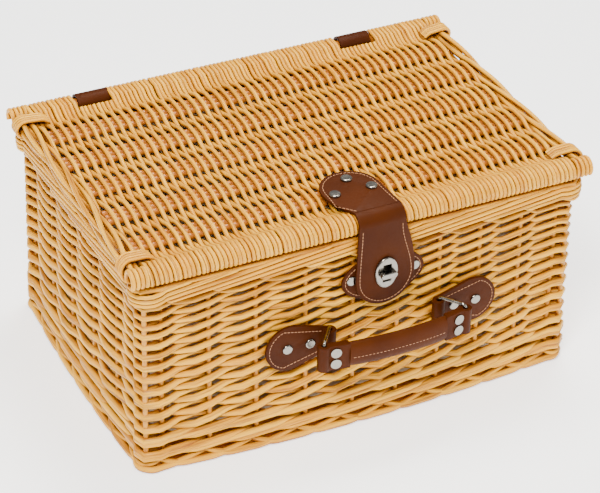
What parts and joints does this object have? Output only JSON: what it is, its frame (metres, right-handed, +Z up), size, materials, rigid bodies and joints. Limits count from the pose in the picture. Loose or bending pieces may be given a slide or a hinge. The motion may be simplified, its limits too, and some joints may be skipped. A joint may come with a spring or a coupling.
{
  "type": "wicker picnic hamper",
  "caption": "Rectangular woven willow hamper with a hinged lid, leather closure strap with turn lock, and a leather handle on metal rings.",
  "frame": {"origin": "on the floor under the middle of the whole part", "axes": "+X along the length, +Y from the front (lock and handle) to the back (hinges), +Z up"},
  "size_m": [0.4236, 0.3282, 0.2126],
  "materials": {
    "willow": "semi-gloss varnish",
    "leather": "semi-gloss",
    "grip_padding": "matt",
    "nickel": "polished nickel",
    "lining": "matt weave"
  },
  "bodies": {
    "body": {"base_weave": "willow", "base_sticks": "willow", "foot_border": "willow", "base_wale": "willow", "front_weave": "willow", "back_weave": "willow", "left_weave": "willow", "right_weave": "willow", "front_stakes": "willow", "back_stakes": "willow", "left_stakes": "willow", "right_stakes": "willow", "corner_posts": "willow", "rim_wale": "willow", "rim_border": "willow", "body_lining": "lining", "lock_backing": "leather", "lock_backing_rivets": "nickel", "lock_base": "nickel", "handle_tab_left": "leather", "handle_tab_right": "leather", "tab_rivets": "nickel", "hinge_strap_left": "leather", "hinge_strap_right": "leather", "hinge_rivets": "nickel"},
    "lid": {"lid_weave": "willow", "lid_sticks": "willow", "front_rail": "willow", "back_rail": "willow", "front_wrap": "willow", "back_wrap": "willow", "left_border": "willow", "right_border": "willow", "corner_binding_front_left": "willow", "corner_binding_front_right": "willow", "corner_binding_back_left": "willow", "corner_binding_back_right": "willow", "strap_head": "leather", "strap_rivets": "nickel"},
    "closure_flap": {"strap_tongue": "leather", "lock_plate": "nickel"},
    "lock_knob": {"turn_head": "nickel"},
    "handle_ring_left": {"ring_left": "nickel"},
    "handle_ring_right": {"ring_right": "nickel"},
    "grip": {"grip_cover": "leather", "grip_core": "grip_padding", "grip_end_left": "leather", "grip_end_right": "leather", "grip_rivets": "nickel"}
  },
  "joints": [
    {"name": "lid_hinge", "type": "hinge", "parent": "body", "child": "lid", "pos_m": [0, 0.1507, 0.199], "axis": [-1, 0, 0], "range_deg": [0, 110]},
    {"name": "strap_lift", "type": "hinge", "parent": "lid", "child": "closure_flap", "pos_m": [0.009, -0.1193, 0.2104], "axis": [-1, 0, 0], "range_deg": [0, 100]},
    {"name": "lock_turn", "type": "hinge", "parent": "body", "child": "lock_knob", "pos_m": [0.0135, -0.13384, 0.152], "axis": [0, 1, 0], "range_deg": [0, 90]},
    {"name": "ring_left_swing", "type": "hinge", "parent": "body", "child": "handle_ring_left", "pos_m": [-0.038, -0.1326, 0.098], "axis": [0, 0, 1], "range_deg": [-12, 12]},
    {"name": "ring_right_swing", "type": "hinge", "parent": "body", "child": "handle_ring_right", "pos_m": [0.065, -0.1326, 0.098], "axis": [0, 0, 1], "range_deg": [-12, 12]},
    {"name": "grip_swing", "type": "hinge", "parent": "handle_ring_left", "child": "grip", "pos_m": [-0.053, -0.1521, 0.098], "axis": [0, 0, 1], "range_deg": [-9.5, 9.5]}
  ],
  "couplings": [
    {"joint": "ring_right_swing", "follows": "ring_left_swing", "ratio": 1},
    {"joint": "grip_swing", "follows": "ring_left_swing", "ratio": -0.75}
  ]
}
